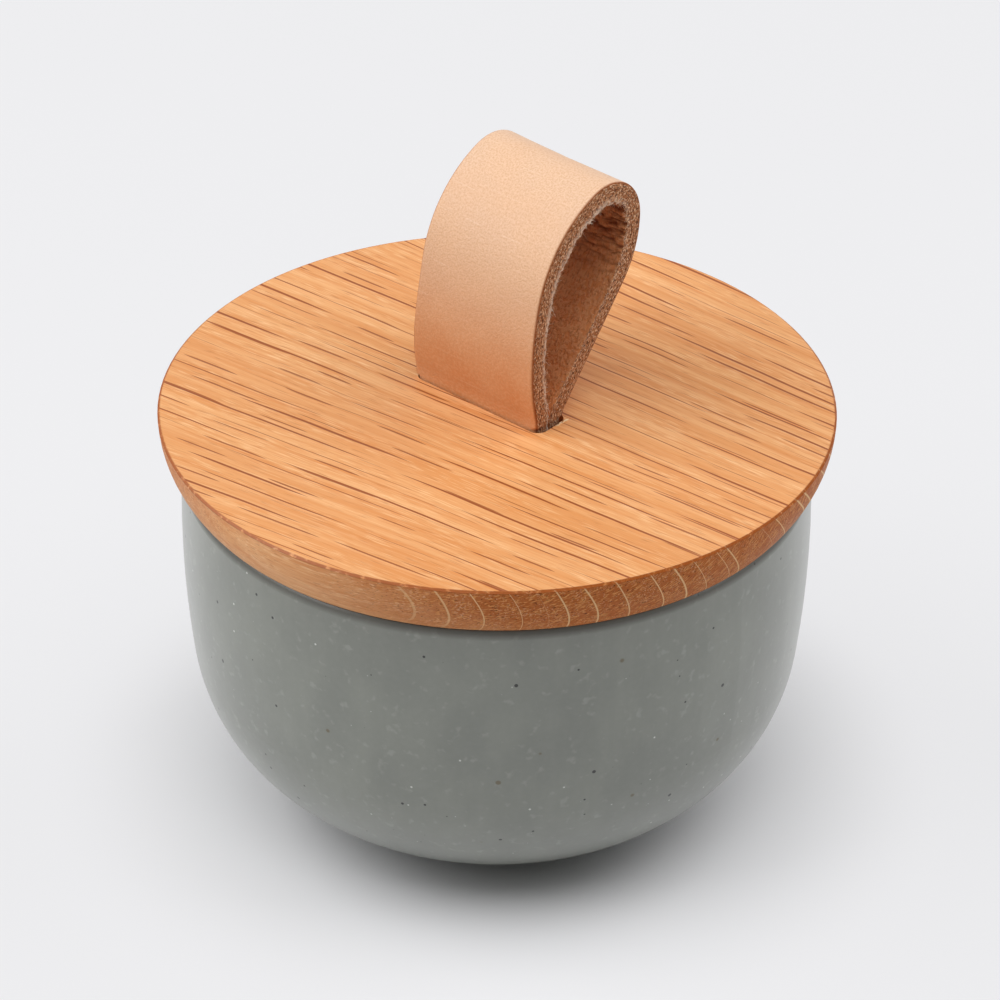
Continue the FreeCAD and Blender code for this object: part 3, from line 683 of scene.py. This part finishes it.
def leather_fibres(finish):
    """Loose fibres that stand from the flesh corners of the cut edges, longest near the lid."""
    chance = random.Random(5)
    points, faces = [], []
    for station in strap_stations():
        height = station[0].y + FLEX_UP - LID_TOP
        if height < 0.6:
            continue
        long_ones = 1.0 + 0.8 * smooth_step(height, 16.0, 6.0)
        heading = station[1]
        inward = Vector((0, math.sin(heading), -math.cos(heading)))
        forward = Vector((0, math.cos(heading), math.sin(heading)))
        for side in (-1, 1) * (3 if heading > 0 else 1):
            depth = LEATHER - 0.7 * chance.random() ** 2
            across = side * (STRAP_HALF - 0.3 * chance.random())
            root = strap_point(station, across, depth)[0]
            aim = inward * chance.uniform(-0.2, 1.0) + forward * chance.uniform(-1.2, 1.2)
            aim += Vector((side, 0, 0)) * chance.uniform(-0.2, 0.8)
            curl = Vector((chance.uniform(-1, 1), chance.uniform(-1, 1), chance.uniform(-1, 1))) * 1.5
            length = 0.14 + 0.26 * chance.random() + 0.5 * long_ones * chance.random() ** 24
            add_fibre(points, faces, root, aim.normalized(), curl, length * MM, 0.045 * MM)
    return new_piece("leather_fibres", points, faces, [finish], [0] * len(faces))


def add_fibre(points, faces, root, aim, curl, length, thick):
    """One hair: a three-sided tube that bends along curl and thins to its tip."""
    pieces = 5
    side = aim.orthogonal().normalized()
    other = aim.cross(side)
    first = len(points)
    for i in range(pieces + 1):
        part = i / pieces
        middle = root + (aim * part + curl * part * part) * length
        slim = thick * (1.1 - 0.8 * part)
        for turn in (0, 2 * math.pi / 3, 4 * math.pi / 3):
            points.append(middle + (side * math.cos(turn) + other * math.sin(turn)) * slim)
    for i in range(pieces):
        for j in range(3):
            low, after = first + 3 * i, (j + 1) % 3
            faces.append((low + j, low + after, low + 3 + after, low + 3 + j))
    faces.append((first + 2, first + 1, first))
    faces.append(tuple(first + 3 * pieces + j for j in range(3)))


def slot_splinters(finish):
    """Oak fibres torn up at the slot's right end, where the cut runs across the grain."""
    chance = random.Random(8)
    points, faces = [], []
    for i in range(SPLINTERS):
        root = Vector((SLOT_END + chance.uniform(0.0, 0.5), 0.4 + 2.6 * i / SPLINTERS, LID_TOP - 0.05)) * MM
        aim = Vector((chance.uniform(-0.3, 0.3), 1.0, chance.uniform(0.1, 0.5))).normalized()
        curl = Vector((chance.uniform(-0.3, 0.3), 0.0, -0.3))
        add_fibre(points, faces, root, aim, curl, chance.uniform(0.6, 1.3) * MM, 0.16 * MM)
    return new_piece("slot_splinters", points, faces, [finish], [0] * len(faces))


def dress(node, finish):
    """Gives a piece of the frame its finish."""
    for slot in frame["nodes"][node].material_slots:
        slot.material = finish


# The pieces

dress("crock_body", satin_glaze())
dress("lid", oiled_oak())
dress("seal_ring", moulded_silicone())
dress("strap_dowel", turned_beech())

strap = leather_strap([grain_side(), cut_edge(), flesh_side()])
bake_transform(strap)
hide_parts("leather_loop", "strap_end_front", "strap_end_back")
fibres = leather_fibres(loose_fibre("leather_fibre", "#C0946C", "#F0E0CC"))
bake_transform(fibres)
splinters = slot_splinters(loose_fibre("torn_oak_fibre", "#E6B982", "#F8DFB6"))
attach(splinters, "lid")


# Floor, light and camera

FLOOR_HALF = 2.5
FLOOR_COLOUR = "#F0F0F2"
BOARD_COLOUR = "#DCDCDE"
SHADOW_INSIDE = 32.0
SHADOW_OUTSIDE = 78.0
WHITE_SHARE = 0.8
ROOM_LIGHT = 0.07
BACKDROP = 0.86
LAMP_AIM = 0.05


def looked_at(tree):
    """1 for what the camera sees, also by reflection or through glass, and 0 for what lights a surface."""
    seen = add(tree, "LightPath").outputs
    either = add(tree, "Math", {0: seen["Is Camera Ray"], 1: seen["Is Glossy Ray"]}, operation="MAXIMUM")
    return add(tree, "Math", {0: either, 1: seen["Is Transmission Ray"]}, operation="MAXIMUM")


def studio_floor():
    """A plain pale floor, matt as painted board, that fades to an even white beyond the crock's shadow; the
    fade is painted light that lightens the shadow's outer part.
    """
    material, tree = bare_finish("matt_white_floor")
    place = place_in_mm(tree)
    grey = mottle(tree, place, (60, 60, 60), 0.3, 0.7, 0.15)
    colour = paint(tree, BOARD_COLOUR, (grey, "#D8D8DA"))
    board = add(tree, "BsdfPrincipled", {"Base Color": colour, "Roughness": 1.0, "IOR": 1.2})
    # Painted light: the white glow, seen by the camera and in reflections, grows from SHADOW_INSIDE to
    # SHADOW_OUTSIDE millimetres from the crock's axis and lightens the outer part of its shadow
    most = add(tree, "MapRange", {"Value": looked_at(tree), "To Max": WHITE_SHARE})
    away = add(tree, "VectorMath", {0: place}, operation="LENGTH").outputs["Value"]
    clear = {"Value": away, "From Min": SHADOW_INSIDE, "From Max": SHADOW_OUTSIDE, "To Max": most}
    clear = add(tree, "MapRange", clear, interpolation_type="SMOOTHSTEP")
    white = add(tree, "Emission", {"Color": FLOOR_COLOUR, "Strength": 1.0})
    floor = add(tree, "MixShader", {"Fac": clear, 1: board, 2: white})
    add(tree, "OutputMaterial", {"Surface": floor})
    corners = [(x * FLOOR_HALF, y * FLOOR_HALF, 0.0) for x, y in ((-1, -1), (1, -1), (1, 1), (-1, 1))]
    new_piece("floor", corners, [(0, 1, 2, 3)], [material], [0])


def direction(turn, rise):
    """The direction turned round from the front by turn and raised above level by rise, in radians."""
    return Vector((math.sin(turn) * math.cos(rise), -math.cos(turn) * math.cos(rise), math.sin(rise)))


def softbox(name, turn, rise, far, width, height, power):
    """A large soft lamp that faces the crock: degrees round it from the camera and up, metres, watts."""
    lamp = bpy.data.lights.new(name, "AREA")
    lamp.shape = "RECTANGLE"
    lamp.size = width
    lamp.size_y = height
    lamp.energy = power
    away = direction(VIEW_TURN + math.radians(turn), math.radians(rise))
    box = bpy.data.objects.new(name, lamp)
    box.location = Vector((0, 0, LAMP_AIM)) + away * far
    box.rotation_mode = "QUATERNION"
    box.rotation_quaternion = away.to_track_quat("Z", "Y")
    bpy.context.scene.collection.objects.link(box)


def studio_light():
    """A wide lamp above, one at each side, the left one stronger, and a dim room."""
    world = bpy.data.worlds.new("studio")
    bpy.context.scene.world = world
    world.use_nodes = True
    tree = world.node_tree
    tree.nodes.clear()
    level = add(tree, "MapRange", {"Value": looked_at(tree), "To Min": ROOM_LIGHT, "To Max": BACKDROP})
    room = add(tree, "Background", {"Color": "#FFFFFF", "Strength": level})
    add(tree, "OutputWorld", {"Surface": room})
    softbox("softbox_above", turn=0, rise=72, far=1.3, width=0.9, height=0.9, power=6.6)
    softbox("softbox_left", turn=-86, rise=42, far=1.2, width=1.2, height=0.9, power=12.8)
    softbox("softbox_right", turn=100, rise=44, far=1.2, width=1.2, height=0.9, power=8.6)


def photograph_camera():
    """The camera at the photograph's place: aimed at the lid's top, then tipped, turned and rolled."""
    lens = bpy.data.cameras.new("camera")
    lens.lens = LENS
    lens.sensor_width = 36.0
    lens.clip_start = 0.01
    camera = bpy.data.objects.new("camera", lens)
    turn = Matrix.Rotation(VIEW_TURN - VIEW_YAW, 4, "Z")
    tip = Matrix.Rotation(UP - VIEW_DOWN - VIEW_PITCH, 4, "X")
    roll = Matrix.Rotation(VIEW_ROLL, 4, "Z")
    stand = Vector((0, 0, LID_TOP)) + direction(VIEW_TURN, VIEW_DOWN) * VIEW_FAR
    camera.matrix_world = Matrix.Translation(stand * MM) @ turn @ tip @ roll
    bpy.context.scene.collection.objects.link(camera)
    bpy.context.scene.camera = camera


studio_floor()
studio_light()
photograph_camera()
bpy.context.scene.view_settings.view_transform = "Standard"
